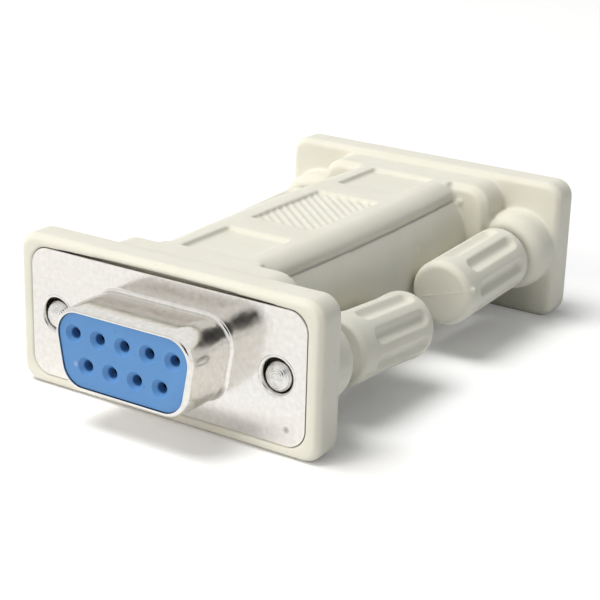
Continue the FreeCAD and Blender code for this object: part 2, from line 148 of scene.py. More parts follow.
# Knobs
FLUTE_COUNT = 8
FLUTE_DEPTH = 0.5 * MM
FLUTE_HALF_WIDTH = 0.88 * MM
FLUTE_SHAPE = 1.15
FLUTE_SPAN = {"front": (2.5 * MM, 12.0 * MM), "rear": (1.3 * MM, 11.0 * MM)}
KNOB_TURN_DEG = {"front": 30.0, "rear": 37.0}
KNOB_BORE = 1.5 * MM
KNOB_FOOT = 0.35 * MM
KNOB_FOOT_LENGTH = 0.8 * MM
KNOB_DOME = 0.75 * MM
KNOB_SEGMENTS = 176
KNOB_ROWS = 72
SEAM_DEG = 54.0
SEAM_STEP = 0.01
SEAM_HEIGHT = 0.021 * MM
SEAM_WIDTH = 0.07 * MM
NUB_HEIGHT = 0.3 * MM
NUB_WIDTH = 0.24 * MM

# Screws
SCREW_SEGMENTS = 48
THREAD_PITCH = 0.635 * MM
THREAD_DEPTH = 0.3 * MM
THREAD_SLOPE = 1.4
THREAD_ROOT = 0.2
THREAD_LENGTH = 5.5 * MM
THREAD_ROWS_PER_TURN = 10
TIP_LENGTH = 0.85 * MM
TIP_STEPS = 36
TIP_RIDGES = 7
TIP_RIDGE_HEIGHT = 0.045 * MM

# Small marks, each a point in millimetres and a radius: two pale specks of wear, and a dark spot of painted
# shade where the flange has a small dent
WAIST_SPECK = ((8.3, 6.8, 10.0), 0.6)
FACE_SPECK = ((-5.34, -30.65, 6.1), 0.32)
FLANGE_DENT_SHADE = ((13.61, -25.1, 2.73), 0.42)
SPECK_PALENESS = 0.22
DENT_SHADE_FACTOR = 0.35

# Surface of moulded plastic: blotches and grain in millimetres, and ranges of a factor
PLASTIC_MOTTLE_MM = 4.0
PLASTIC_SPECK_MM = 0.35
PLASTIC_SPECK_RANGE = (0.74, 0.8)
# Painted shade in crevices: how far it reaches, the range of the gap factor and how dark it gets
PLASTIC_GAP_MM = 0.6
PLASTIC_CREVICE_SHADE_RANGE = (0.0, 0.5)
PLASTIC_CREVICE_SHADE_FACTOR = 0.45
PLASTIC_ROUGHNESS = (0.42, 0.55)
PLASTIC_ROUGHNESS_MM = 1.5
PLASTIC_GRAIN_MM = 0.12
PLASTIC_RELIEF_MM = 0.01
PLASTIC_RELIEF_STRENGTH = 0.35
PLASTIC_SUBSURFACE = 0.1
PLASTIC_SUBSURFACE_REACH = (0.8 * MM, 0.6 * MM, 0.4 * MM)

# Surface of metal
METAL_MOTTLE_MM = 0.5
METAL_MOTTLE_DETAIL = 5.0
METAL_ROUGHNESS_MM = 0.8
METAL_ROUGHNESS_DETAIL = 4.0
METAL_RELIEF_STRENGTH = 0.5

# Samples that a shader takes in gaps and round sharp edges
GAP_SAMPLES = 8
EDGE_SAMPLES = 6

IVORY = {"light": (0.73, 0.72, 0.635), "dark": (0.705, 0.69, 0.60), "speck": (0.62, 0.58, 0.47)}
PLASTICS = {
    "jacket_plastic": {**IVORY, "edge_mm": 0.3, "mark": WAIST_SPECK},
    "knob_plastic": IVORY,
    "sleeve_plastic": {
        "light": (0.6, 0.6, 0.57),
        "dark": (0.55, 0.55, 0.52),
        "speck": (0.4, 0.4, 0.38),
    },
    "insulator_plastic": {
        "light": (0.10, 0.27, 0.57),
        "dark": (0.09, 0.245, 0.53),
        "speck": (0.06, 0.18, 0.42),
        "edge_mm": 0.05,
        "gap_mm": 0.25,
        "mark": FACE_SPECK,
    },
    "wire_insulation": {
        "light": (0.08, 0.09, 0.1),
        "dark": (0.06, 0.07, 0.08),
        "speck": (0.03, 0.03, 0.04),
    },
}
METALS = {
    "shell_nickel": {
        "light": (0.80, 0.78, 0.745),
        "dark": (0.71, 0.69, 0.655),
        "roughness": (0.10, 0.21),
        "grain_mm": 0.2,
        "relief_mm": 0.008,
        "dent_shade": FLANGE_DENT_SHADE,
    },
    "eyelet_nickel": {
        "light": (0.80, 0.79, 0.76),
        "dark": (0.66, 0.65, 0.62),
        "roughness": (0.12, 0.25),
        "grain_mm": 0.1,
        "relief_mm": 0.004,
    },
    "screw_steel": {
        "light": (0.78, 0.77, 0.74),
        "dark": (0.62, 0.61, 0.59),
        "roughness": (0.12, 0.28),
        "grain_mm": 0.1,
        "relief_mm": 0.006,
    },
    "contact_brass": {
        "light": (0.32, 0.26, 0.16),
        "dark": (0.22, 0.17, 0.1),
        "roughness": (0.25, 0.4),
        "grain_mm": 0.1,
        "relief_mm": 0.003,
    },
    "tinned_copper": {
        "light": (0.65, 0.63, 0.58),
        "dark": (0.55, 0.52, 0.48),
        "roughness": (0.3, 0.45),
        "grain_mm": 0.1,
        "relief_mm": 0.003,
    },
}

# Floor, sky, cards and lamps, in metres and watts
WHITE = (1.0, 1.0, 1.0, 1.0)
DULL = 0.9
FLOOR_HALF = 3.0
FLOOR_LIGHT = (0.92, 0.92, 0.925)
FLOOR_DARK = (0.90, 0.90, 0.905)
FLOOR_GRAIN_MM = 30.0
FLOOR_SHEEN = 0.1
FLOOR_GLOW = 0.13
SKY_COLOUR = (0.94, 0.98, 1.0, 1.0)
SKY_STRENGTH = 0.14
CARD_DISTANCE = 0.32
CARD_WEAVE_MM = 2.0
# Cards seen only in the metal: they paint a dark and a brown reflection there
CARDS = {
    "dark_card": {
        "azimuth_deg": 27.0,
        "elevation_deg": 28.0,
        "half_size": (0.1, 0.1),
        "light": (0.03, 0.028, 0.025),
        "dark": (0.02, 0.02, 0.02),
    },
    "brown_card": {
        "azimuth_deg": -33.0,
        "elevation_deg": 20.0,
        "half_size": (0.2, 0.017),
        "light": (0.8, 0.73, 0.66),
        "dark": (0.76, 0.69, 0.62),
    },
}
SOFTBOXES = {
    "top_light": {
        "place": (-0.265, -0.19, 0.92),
        "size": (0.55, 0.55),
        "energy": 8.5,
        "colour": (1.0, 0.995, 0.98),
    },
    "front_light": {
        "place": (-0.50, -1.15, 0.55),
        "size": (1.8, 0.9),
        "energy": 11.6,
        "colour": (1.0, 0.95, 0.875),
    },
}


def new_object(name, data):
    """Object in the scene that holds a mesh, light or camera."""
    item = bpy.data.objects.new(name, data)
    bpy.context.scene.collection.objects.link(item)
    return item


def level_towards(azimuth):
    """Level direction from the adapter to a viewer at an azimuth, which is 0 in front of it."""
    return Vector((math.sin(azimuth), -math.cos(azimuth), 0.0))


def camera_rotation():
    """Turn of the camera from its azimuth, elevation and roll."""
    azimuth = math.radians(CAMERA_AZIMUTH_DEG)
    elevation = math.radians(CAMERA_ELEVATION_DEG)
    roll = math.radians(CAMERA_ROLL_DEG)
    back = level_towards(azimuth) * math.cos(elevation) + Vector((0.0, 0.0, math.sin(elevation)))
    level = Vector((math.cos(azimuth), math.sin(azimuth), 0.0))
    upright = back.cross(level)
    right = level * math.cos(roll) + upright * math.sin(roll)
    up = upright * math.cos(roll) - level * math.sin(roll)
    return Matrix((right, up, back)).transposed()


def add_camera():
    """Camera at the place that the photograph was taken from."""
    data = bpy.data.cameras.new("camera")
    data.sensor_width = SENSOR_MM
    data.lens = CAMERA_LENS_MM
    data.clip_start = 1 * MM
    camera = new_object("camera", data)
    camera.matrix_world = Matrix.Translation(CAMERA_PLACE) @ camera_rotation().to_4x4()
    bpy.context.scene.camera = camera


# Materials

def new_material(name):
    """Material with its node tree, principled shader and a place in millimetres."""
    material = bpy.data.materials.new(name)
    material.use_nodes = True
    tree = material.node_tree
    coordinates = tree.nodes.new("ShaderNodeTexCoord")
    mapping = tree.nodes.new("ShaderNodeMapping")
    mapping.inputs["Scale"].default_value = (1 / MM, 1 / MM, 1 / MM)
    tree.links.new(coordinates.outputs["Object"], mapping.inputs["Vector"])
    return material, tree, tree.nodes["Principled BSDF"], mapping.outputs["Vector"]


def noise(tree, place, period_mm, detail=3.0):
    """Noise whose blotches are about this many millimetres across."""
    node = tree.nodes.new("ShaderNodeTexNoise")
    node.inputs["Scale"].default_value = 1 / period_mm
    node.inputs["Detail"].default_value = detail
    tree.links.new(place, node.inputs["Vector"])
    return node.outputs["Fac"]


def between(tree, factor, low, high, from_low=0.3, from_high=0.7):
    """Value that follows a factor from low to high."""
    node = tree.nodes.new("ShaderNodeMapRange")
    node.inputs["From Min"].default_value = from_low
    node.inputs["From Max"].default_value = from_high
    node.inputs["To Min"].default_value = low
    node.inputs["To Max"].default_value = high
    tree.links.new(factor, node.inputs["Value"])
    return node.outputs["Result"]


def spot(tree, place, mark):
    """Factor that is 1 at a mark's point and 0 from its radius on."""
    centre, radius_mm = mark
    gap = tree.nodes.new("ShaderNodeVectorMath")
    gap.operation = "DISTANCE"
    gap.inputs[1].default_value = centre
    tree.links.new(place, gap.inputs[0])
    return between(tree, gap.outputs["Value"], 1.0, 0.0, 0.0, radius_mm)


def blend_colour(tree, factor, first, second):
    """Mix of two colours, each a plain colour or another node's output."""
    node = tree.nodes.new("ShaderNodeMix")
    node.data_type = "RGBA"
    inputs = [socket for socket in node.inputs if socket.type == "RGBA"]
    for socket, value in zip(inputs, (first, second)):
        if isinstance(value, tuple):
            socket.default_value = (*value, 1.0)
        else:
            tree.links.new(value, socket)
    tree.links.new(factor, node.inputs["Factor"])
    return [socket for socket in node.outputs if socket.type == "RGBA"][0]


def crevices(tree, reach_mm):
    """Factor that is 0 deep in a gap and 1 in the open."""
    node = tree.nodes.new("ShaderNodeAmbientOcclusion")
    node.samples = GAP_SAMPLES
    node.inputs["Distance"].default_value = reach_mm * MM
    return node.outputs["AO"]


def relief(tree, shader, height, distance_mm, strength, edge_mm=0.0):
    """Bump from a height, on a normal that is softened at sharp edges."""
    bump = tree.nodes.new("ShaderNodeBump")
    bump.inputs["Distance"].default_value = distance_mm * MM
    bump.inputs["Strength"].default_value = strength
    tree.links.new(height, bump.inputs["Height"])
    if edge_mm:
        edge = tree.nodes.new("ShaderNodeBevel")
        edge.samples = EDGE_SAMPLES
        edge.inputs["Radius"].default_value = edge_mm * MM
        tree.links.new(edge.outputs["Normal"], bump.inputs["Normal"])
    tree.links.new(bump.outputs["Normal"], shader.inputs["Normal"])


def moulded_plastic(name, light, dark, speck, edge_mm=0.0, gap_mm=PLASTIC_GAP_MM, mark=None):
    """Fine matte plastic with faint mottling, specks, painted shade in its crevices and perhaps a pale mark.
    """
    material, tree, shader, place = new_material(name)
    mottle = between(tree, noise(tree, place, PLASTIC_MOTTLE_MM), 0.0, 1.0)
    base = blend_colour(tree, mottle, dark, light)
    specks = between(tree, noise(tree, place, PLASTIC_SPECK_MM, detail=1.0), 0.0, 1.0, *PLASTIC_SPECK_RANGE)
    speckled = blend_colour(tree, specks, base, speck)
    if mark:
        pale = tuple(channel + SPECK_PALENESS * (1 - channel) for channel in light)
        speckled = blend_colour(tree, spot(tree, place, mark), speckled, pale)
    # Painted shade: the colour darkens towards a dark tone deep in gaps and crevices, where shade falls
    open_air = between(tree, crevices(tree, gap_mm), 0.0, 1.0, *PLASTIC_CREVICE_SHADE_RANGE)
    crevice_shade = tuple(PLASTIC_CREVICE_SHADE_FACTOR * channel for channel in speck)
    tree.links.new(blend_colour(tree, open_air, crevice_shade, speckled), shader.inputs["Base Color"])
    roughness = between(tree, noise(tree, place, PLASTIC_ROUGHNESS_MM), *PLASTIC_ROUGHNESS)
    tree.links.new(roughness, shader.inputs["Roughness"])
    grain = noise(tree, place, PLASTIC_GRAIN_MM, detail=2.0)
    relief(tree, shader, grain, PLASTIC_RELIEF_MM, PLASTIC_RELIEF_STRENGTH, edge_mm)
    shader.inputs["Subsurface Weight"].default_value = PLASTIC_SUBSURFACE
    shader.inputs["Subsurface Radius"].default_value = PLASTIC_SUBSURFACE_REACH
    shader.inputs["Subsurface Scale"].default_value = 1.0
    return material


def metal(name, light, dark, roughness, grain_mm, relief_mm, dent_shade=None):
    """Metal with mottled tone, uneven roughness, a fine grain and perhaps a dark spot of painted shade where
    it has a small dent.
    """
    material, tree, shader, place = new_material(name)
    mottle = between(tree, noise(tree, place, METAL_MOTTLE_MM, METAL_MOTTLE_DETAIL), 0.0, 1.0)
    colour = blend_colour(tree, mottle, dark, light)
    # Painted shade of a small dent: the colour darkens towards a dark tone round the mark's point
    if dent_shade:
        shade = tuple(DENT_SHADE_FACTOR * channel for channel in dark)
        colour = blend_colour(tree, spot(tree, place, dent_shade), colour, shade)
    tree.links.new(colour, shader.inputs["Base Color"])
    rough = between(tree, noise(tree, place, METAL_ROUGHNESS_MM, METAL_ROUGHNESS_DETAIL), *roughness)
    tree.links.new(rough, shader.inputs["Roughness"])
    relief(tree, shader, noise(tree, place, grain_mm), relief_mm, METAL_RELIEF_STRENGTH)
    shader.inputs["Metallic"].default_value = 1.0
    return material


def make_materials():
    """One material for each material slot of the record."""
    made = {slot: moulded_plastic(f"{slot}_look", **look) for slot, look in PLASTICS.items()}
    for slot, look in METALS.items():
        made[slot] = metal(f"{slot}_look", **look)
    return made


def dress_frame():
    """Gives every node of the frame the material of its slot in the record."""
    for row in frame["record"]["subparts"]:
        data = frame["nodes"][row["node"]].data
        data.materials.clear()
        data.materials.append(materials[row["material_slot"]])


# Shapes

def new_piece(name, mesh, slot, body="adapter"):
    """Smooth-shaded object that rides on a body and takes its finish from a slot."""
    mesh.polygons.foreach_set("use_smooth", [True] * len(mesh.polygons))
    mesh.materials.clear()
    mesh.materials.append(materials[slot])
    piece = new_object(name, mesh)
    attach(piece, body)
    return piece


def meshed(name, vertices, faces):
    """Mesh whose faces all point outwards."""
    mesh = bpy.data.meshes.new(name)
    mesh.from_pydata([tuple(vertex) for vertex in vertices], [], faces)
    outward = bmesh.new()
    outward.from_mesh(mesh)
    bmesh.ops.recalc_face_normals(outward, faces=outward.faces)
    outward.to_mesh(mesh)
    outward.free()
    return mesh


def skin(rows, closed=False, capped=False):
    """Vertices and faces of rings of points, each ring joined to the next."""
    count = len(rows[0])
    vertices = [point for row in rows for point in row]
    faces = []
    for row in range(len(rows) if closed else len(rows) - 1):
        near = row * count
        far = (row + 1) % len(rows) * count
        for index in range(count):
            ahead = (index + 1) % count
            faces.append((near + index, near + ahead, far + ahead, far + index))
    if capped:
        faces.append(tuple(range(len(vertices) - count, len(vertices))))
    return vertices, faces


def at_end(end, point):
    """A point of the front end, or the same point of the rear one."""
    if end == "front":
        return Vector(point)
    return Vector((-point[0], -point[1], point[2]))


def quarter(steps):
    """Sine and cosine pairs over a quarter turn, from (0, 1) to (1, 0)."""
    angles = [math.pi / 2 * step / steps for step in range(steps + 1)]
    return [(math.sin(angle), math.cos(angle)) for angle in angles]


def circle(centre, radius, y, segments):
    """Points round a circle in a plane across the connector."""
    points = []
    for index in range(segments):
        angle = 2 * math.pi * index / segments
        points.append(Vector((centre.x + radius * math.cos(angle), y, centre.z + radius * math.sin(angle))))
    return points


def round_loop(corners, radius, offset, y):
    """Points round an outline with rounded corners, moved outwards by an offset, at one depth."""
    points = []
    for index, corner in enumerate(corners):
        corner = Vector(corner)
        back = (Vector(corners[index - 1]) - corner).normalized()
        ahead = (Vector(corners[(index + 1) % len(corners)]) - corner).normalized()
        half = back.angle(ahead) / 2
        centre = corner + (back + ahead).normalized() * (radius / math.sin(half))
        first = (corner + back * (radius / math.tan(half)) - centre).normalized()
        last = (corner + ahead * (radius / math.tan(half)) - centre).normalized()
        for step in range(ARC_STEPS + 1):
            spoke = first.slerp(last, step / ARC_STEPS)
            place = centre + spoke * (radius + offset)
            points.append(Vector((place.x, y, place.y)))
    return points


def d_corners():
    """Corners of the D outline as (x, z)."""
    narrow = SHELL_WIDTH / 2 - SHELL_HEIGHT * math.tan(math.radians(D_SLOPE_DEG))
    wide = SHELL_WIDTH / 2
    low = AXIS_Z - SHELL_HEIGHT / 2
    high = AXIS_Z + SHELL_HEIGHT / 2
    return [(-narrow, low), (narrow, low), (wide, high), (-wide, high)]


def flange_corners():
    """Corners of the flange as (x, z)."""
    left, low = FLANGE_LOW.x, FLANGE_LOW.z
    right, high = FLANGE_HIGH.x, FLANGE_HIGH.z
    return [(left, low), (right, low), (right, high), (left, high)]


def hole_loops(y):
    """Points round each eyelet's hole in the flange."""
    centres = [Vector((side * EYELET_X, y, AXIS_Z)) for side in (-1, 1)]
    return [circle(centre, EYELET_RADIUS, y, SCREW_SEGMENTS) for centre in centres]


def filled(loops):
    """Vertices and faces of a flat region between its outline and its holes."""
    mesh = bmesh.new()
    edges = []
    for loop in loops:
        corners = [mesh.verts.new(point) for point in loop]
        for index, corner in enumerate(corners):
            edges.append(mesh.edges.new((corners[index - 1], corner)))
    bmesh.ops.triangle_fill(mesh, edges=edges, use_beauty=True, normal=(0, 1, 0))
    mesh.verts.index_update()
    vertices = [vertex.co.copy() for vertex in mesh.verts]
    faces = [tuple(vertex.index for vertex in face.verts) for face in mesh.faces]
    mesh.free()
    return vertices, faces


def joined(parts):
    """One list of vertices and one of faces from several."""
    vertices = []
    faces = []
    for part_vertices, part_faces in parts:
        start = len(vertices)
        vertices += part_vertices
        faces += [tuple(start + index for index in face) for face in part_faces]
    return vertices, faces


def shell_surface():
    """Drawn front shell: flange with rounded edges and two holes, and a D-shaped tube with a soft rim."""
    back_y = FRONT_Y + SHEET
    rim_y = FRONT_Y - SHELL_REACH
    tube = []
    for sine, cosine in quarter(ARC_STEPS):
        tube.append((ROOT_FILLET * (1 - sine), FRONT_Y - ROOT_FILLET * (1 - cosine)))
    root_y = FRONT_Y - ROOT_FILLET
    reach = rim_y + RIM_ROUND - root_y
    for row in range(1, CROWN_ROWS):
        share = row / CROWN_ROWS
        tube.append((4 * TUBE_CROWN * share * (1 - share), root_y + reach * share))
    for sine, cosine in quarter(RIM_STEPS):
        tube.append((-RIM_ROUND * (1 - cosine), rim_y + RIM_ROUND * (1 - sine)))
    tube += [(-SHEET, rim_y + RIM_ROUND / 2), (-SHEET, back_y)]
    tube_rows = [round_loop(d_corners(), SHELL_CORNER, offset, y) for offset, y in tube]
    edge = []
    for sine, cosine in quarter(EDGE_STEPS):
        edge.append((FLANGE_GROWTH - FLANGE_EDGE * (1 - sine), FRONT_Y + FLANGE_EDGE * (1 - cosine)))
    edge.append((FLANGE_GROWTH, back_y))
    edge_rows = [round_loop(flange_corners(), FLANGE_CORNER, offset, y) for offset, y in edge]
    front_holes = hole_loops(FRONT_Y)
    back_holes = hole_loops(back_y)
    return joined([
        skin(tube_rows),
        skin(edge_rows),
        *[skin([front, back]) for front, back in zip(front_holes, back_holes)],
        filled([edge_rows[0], tube_rows[0], *front_holes]),
        filled([edge_rows[-1], tube_rows[-1], *back_holes]),
    ])


def insulator_surface():
    """Front insulator: D-shaped block with an eased edge and a cone-shaped mouth round each contact."""
    face_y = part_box("front_insulator")[0].y
    inset = -SHEET - FACE_GAP
    sides = []
    for sine, cosine in quarter(MOUTH_STEPS):
        sides.append((inset - FACE_ROUND * (1 - sine), face_y + FACE_ROUND * (1 - cosine)))
    sides.append((inset, FRONT_Y + SHEET))
    rows = [round_loop(d_corners(), SHELL_CORNER, offset, y) for offset, y in sides]
    cup = []
    for step in range(MOUTH_STEPS + 1):
        share = step / MOUTH_STEPS
        cup.append((MOUTH_OUTER + (MOUTH_THROAT - MOUTH_OUTER) * share, face_y + MOUTH_DEPTH * share))
    cup.append((MOUTH_THROAT, face_y + MOUTH_END))
    cup.append((CONTACT_RADIUS, face_y + MOUTH_END))
    mouths = []
    rims = []
    for number in range(1, CONTACT_COUNT + 1):
        near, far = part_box(f"front_contact_{number}")
        centre = (near + far) / 2
        loops = [circle(centre, radius, y, MOUTH_SEGMENTS) for radius, y in cup]
        mouths.append(skin(loops))
        rims.append(loops[0])
    back = (rows[-1], [tuple(range(len(rows[-1])))])
    return joined([skin(rows), filled([rows[0], *rims]), *mouths, back])


def seal(piece):
    """Joins the parts of a piece's mesh, and shades flat faces flat and rounded edges round."""
    merge = bmesh.new()
    merge.from_mesh(piece.data)
    bmesh.ops.remove_doubles(merge, verts=merge.verts, dist=MERGE_DISTANCE)
    bmesh.ops.recalc_face_normals(merge, faces=merge.faces)
    merge.to_mesh(piece.data)
    merge.free()
    piece.data.set_sharp_from_angle(angle=math.radians(SHARP_DEG))
    weighted = piece.modifiers.new("weighted_normals", "WEIGHTED_NORMAL")
    weighted.keep_sharp = True


def at_both_ends(surface, piece_name, slot, node_name):
    """A sealed piece at each end, in place of the plainer solid there."""
    vertices, faces = surface
    for end in ACROSS:
        name = f"{end}_{piece_name}"
        piece = new_piece(name, meshed(name, [at_end(end, vertex) for vertex in vertices], faces), slot)
        seal(piece)
        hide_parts(f"{end}_{node_name}")


def round_boss(point, end):
    """Draws a point in millimetres on a boss in to the boss's rounded end."""
    direction = 1 if end == "front" else -1
    height = direction * (point.y - direction * FRONT_Y / MM) - PLATE
    centre = Vector((math.copysign(EYELET_X / MM, point.x), 0, AXIS_Z / MM))
    spoke = Vector((point.x - centre.x, 0, point.z - centre.z))
    start = BOSS_LENGTH - BOSS_DROP
    on_boss = abs(point.x) >= COLLAR_HALF and spoke.length <= BOSS_RADIUS + VOXEL
    if not on_boss or not start < height < BOSS_LENGTH + VOXEL:
        return point
    out = (spoke.length - BOSS_RADIUS + BOSS_ROUND) / BOSS_ROUND
    up = (height - start) / BOSS_DROP
    reach = math.hypot(out, up)
    if out <= 0 or reach <= 1:
        return point
    radius = BOSS_RADIUS - BOSS_ROUND + BOSS_ROUND * out / reach
    y = direction * (FRONT_Y / MM + PLATE + start + BOSS_DROP * up / reach)
    eased = centre + spoke.normalized() * radius
    return Vector((eased.x, y, eased.z))


def roll_shoulder(point):
    """Moves a point in millimetres on the waist's shoulder, so that it rolls over and tucks in below."""
    if abs(point.y) > WAIST_HALF:
        return point
    side = math.copysign(1, point.x)
    level = math.copysign(1, point.z - AXIS_Z / MM)
    bow = WAIST_BOW * (point.y / WAIST_BOW_REACH) ** 2
    across = abs(point.x) + bow
    height = abs(point.z - AXIS_Z / MM) - GROOVE_Z
    centre = GROOVE_X - SHOULDER_RADIUS
    depth = SHOULDER_RADIUS - math.hypot(max(across - centre, 0), height)
    if across < SHOULDER_START or height < 0 or abs(depth) > SKIN:
        return point
    reach = GROOVE_X - SHOULDER_START
    angle = math.atan2(height / SHOULDER_RADIUS, (across - SHOULDER_START) / reach)
    height = SHOULDER_RADIUS * math.sin(angle)
    across = SHOULDER_START + reach * math.cos(angle)
    across -= GROOVE_DEPTH * max(1 - height / GROOVE_ABOVE, 0) ** 2
    rolled = Vector((side * (across - bow), point.y, AXIS_Z / MM + level * (GROOVE_Z + height)))
    return Vector(point).lerp(rolled, min((WAIST_HALF - abs(point.y)) / SHOULDER_FADE, 1))


def soften_ribs(point):
    """Lowers a point in millimetres on the grip's ribs, top or underside."""
    level = math.copysign(1, point.z - AXIS_Z / MM)
    height = abs(point.z - AXIS_Z / MM) + AXIS_Z / MM - RIB_FLOOR
    if abs(point.x) > RIB_SPAN.x or abs(point.y) > RIB_SPAN.y or height < 0:
        return point
    above_axis = RIB_FLOOR - AXIS_Z / MM + RIB_SOFTENING * height
    return Vector((point.x, point.y, AXIS_Z / MM + level * above_axis))


def evaluated_mesh(item):
    """New mesh of an object with its modifiers applied."""
    return bpy.data.meshes.new_from_object(item.evaluated_get(bpy.context.evaluated_depsgraph_get()))


def jacket_moulding():
    """Copy of the moulded jacket with all its edges and ribs eased, as a moulding's are."""
    source = frame["nodes"]["outer_jacket"].data.copy()
    source.transform(Matrix.Scale(1 / MM, 4))
    rough = new_object("rough_jacket", source)
    voxels = rough.modifiers.new("voxels", "REMESH")
    voxels.mode = "VOXEL"
    voxels.voxel_size = VOXEL
    ease = rough.modifiers.new("ease", "SMOOTH")
    ease.factor = EASE_FACTOR
    ease.iterations = EASE_STEPS
    mesh = evaluated_mesh(rough)
    for vertex in mesh.vertices:
        vertex.co = soften_ribs(roll_shoulder(vertex.co))
        for end in ACROSS:
            vertex.co = round_boss(vertex.co, end)
        share = (vertex.co - GATE_NUB).length / GATE_NUB_RADIUS
        if share < 1:
            vertex.co += vertex.normal * GATE_NUB_HEIGHT * (1 - share ** 2)
    rough.modifiers.clear()
    rough.data = mesh
    thin = rough.modifiers.new("thin", "DECIMATE")
    thin.ratio = THINNING
    mesh = evaluated_mesh(rough)
    bpy.data.objects.remove(rough)
    mesh.transform(Matrix.Scale(MM, 4))
    piece = new_piece("jacket_moulding", mesh, "jacket_plastic")
    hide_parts("outer_jacket")


def eyelets():
    """Flared tubular rivets, in place of the many-sided solids."""
    profile = [(EYELET_RADIUS, EYELET_LENGTH), (EYELET_RADIUS, 0.0)]
    for sine, cosine in quarter(RIM_STEPS):
        profile.append((EYELET_RADIUS - EYELET_LIP * (1 - cosine), -EYELET_PROUD * sine))
    inner = EYELET_RADIUS - EYELET_LIP
    for sine, cosine in quarter(RIM_STEPS)[1:]:
        profile.append((inner - (inner - EYELET_BORE) * sine, EYELET_FLARE * (1 - cosine) - EYELET_PROUD))
    profile.append((EYELET_BORE, EYELET_LENGTH))
    for end in ACROSS:
        for side in SIDES:
            near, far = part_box(f"{end}_{side}_eyelet")
            inward = at_end(end, (0, 1, 0)).y
            centre = Vector(((near.x + far.x) / 2, 0, AXIS_Z))
            rows = []
            for radius, along in profile:
                rows.append(circle(centre, radius, inward * (FRONT_Y + along), SCREW_SEGMENTS))
            name = f"{end}_{side}_rivet"
            piece = new_piece(name, meshed(name, *skin(rows, closed=True)), "eyelet_nickel")
            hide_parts(f"{end}_{side}_eyelet")


# Thumbscrews

class Thumbscrew:
    """Where a thumbscrew's knob or screw lies: its axis, its two directions across that, and its sizes."""

    def __init__(self, end, side, part):
        self.node = f"{end}_{side}_{part}"
        for joint in frame["record"]["behaviour"]["joints"]:
            if joint["name"] == f"{end}_{side}_knob_turn":
                self.place = Vector(joint["pos_m"])
                self.inward = -Vector(joint["axis"]).normalized()
        self.across = ACROSS[end]
        self.upright = self.across.cross(self.inward)
        offsets = [vertex.co - self.place for vertex in frame["nodes"][self.node].data.vertices]
        distances = [offset.dot(self.inward) for offset in offsets]
        self.start = min(distances)
        self.length = max(distances) - self.start
        radii = [(offset - self.inward * along).length for offset, along in zip(offsets, distances)]
        self.radius = max(radii)

    def point(self, angle, radius, along):
        """Point at an angle round the axis, a radius from it and a distance from the part's start."""
        spoke = self.across * math.cos(angle) + self.upright * math.sin(angle)
        return self.place + spoke * radius + self.inward * (self.start + along)


def flute_depth(angle, along, radius, span):
    """How far the flutes cut in at an angle and a distance from the knob's foot: round-ended scallops."""
    pitch = 2 * math.pi / FLUTE_COUNT
    sideways = radius * ((angle + pitch / 2) % pitch - pitch / 2)
    start = span[0] + FLUTE_HALF_WIDTH
    end = span[1] - FLUTE_HALF_WIDTH
    share = math.hypot(sideways, max(start - along, along - end, 0.0)) / FLUTE_HALF_WIDTH
    if share >= 1:
        return 0.0
    return FLUTE_DEPTH * (1 - share ** 2) ** FLUTE_SHAPE


def knob_profile(radius, length):
    """(Radius, distance from the foot) pairs of a knob without its flutes, from its bore to its end."""
    foot = radius - KNOB_FOOT
    flat = foot - KNOB_FOOT / 2
    profile = [(KNOB_BORE, 0.0), ((KNOB_BORE + foot) / 2, 0.0), (flat, 0.0)]
    for sine, cosine in quarter(ARC_STEPS)[1:]:
        profile.append((flat + (radius - flat) * sine, KNOB_FOOT_LENGTH * (1 - cosine)))
    straight = length - KNOB_DOME - KNOB_FOOT_LENGTH
    for row in range(1, KNOB_ROWS):
        profile.append((radius, KNOB_FOOT_LENGTH + straight * row / KNOB_ROWS))
    for sine, cosine in quarter(ARC_STEPS):
        profile.append((radius - KNOB_DOME * (1 - cosine), length - KNOB_DOME * (1 - sine)))
    face = radius - KNOB_DOME
    for row in range(1, ARC_STEPS):
        profile.append((face * (1 - row / ARC_STEPS), length))
    return profile


def knob_angles():
    """Angles round a knob, closer together at the two sides of its parting line."""
    angles = [2 * math.pi * index / KNOB_SEGMENTS for index in range(KNOB_SEGMENTS)]
    for seam in (0.0, math.pi):
        angles += [(seam + step * SEAM_STEP) % (2 * math.pi) for step in (-2, -1, 1, 2)]
    return sorted(angles)


def knob_row(knob, end, base, along):
    """Ring of points round a knob, with its flutes, parting line and gate nub."""
    seam = math.radians(SEAM_DEG)
    turn = math.radians(KNOB_TURN_DEG[end]) - seam
    row = []
    for angle in knob_angles():
        ridge = SEAM_HEIGHT * math.exp(-(base * math.sin(angle) / SEAM_WIDTH) ** 2)
        reach = base - flute_depth(angle - seam, along, knob.radius, FLUTE_SPAN[end])
        if base > knob.radius - KNOB_DOME:
            reach += ridge
            ridge = 0.0
        around = (angle - math.pi) * knob.radius
        behind = along - (knob.length - KNOB_DOME)
        reach += NUB_HEIGHT * math.exp(-(around ** 2 + behind ** 2) / NUB_WIDTH ** 2)
        row.append(knob.point(angle + turn, reach, along + ridge))
    return row


def knobs():
    """Knobs with soft flutes, a domed end and a faint parting line, in place of the many-sided solids."""
    for end in ACROSS:
        for side in SIDES:
            knob = Thumbscrew(end, side, "knob")
            rows = [knob_row(knob, end, *pair) for pair in knob_profile(knob.radius, knob.length)]
            name = f"{end}_{side}_grip"
            mesh = meshed(name, *skin(rows, capped=True))
            piece = new_piece(name, mesh, "knob_plastic", f"{end}_{side}_knob_body")
            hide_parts(knob.node)


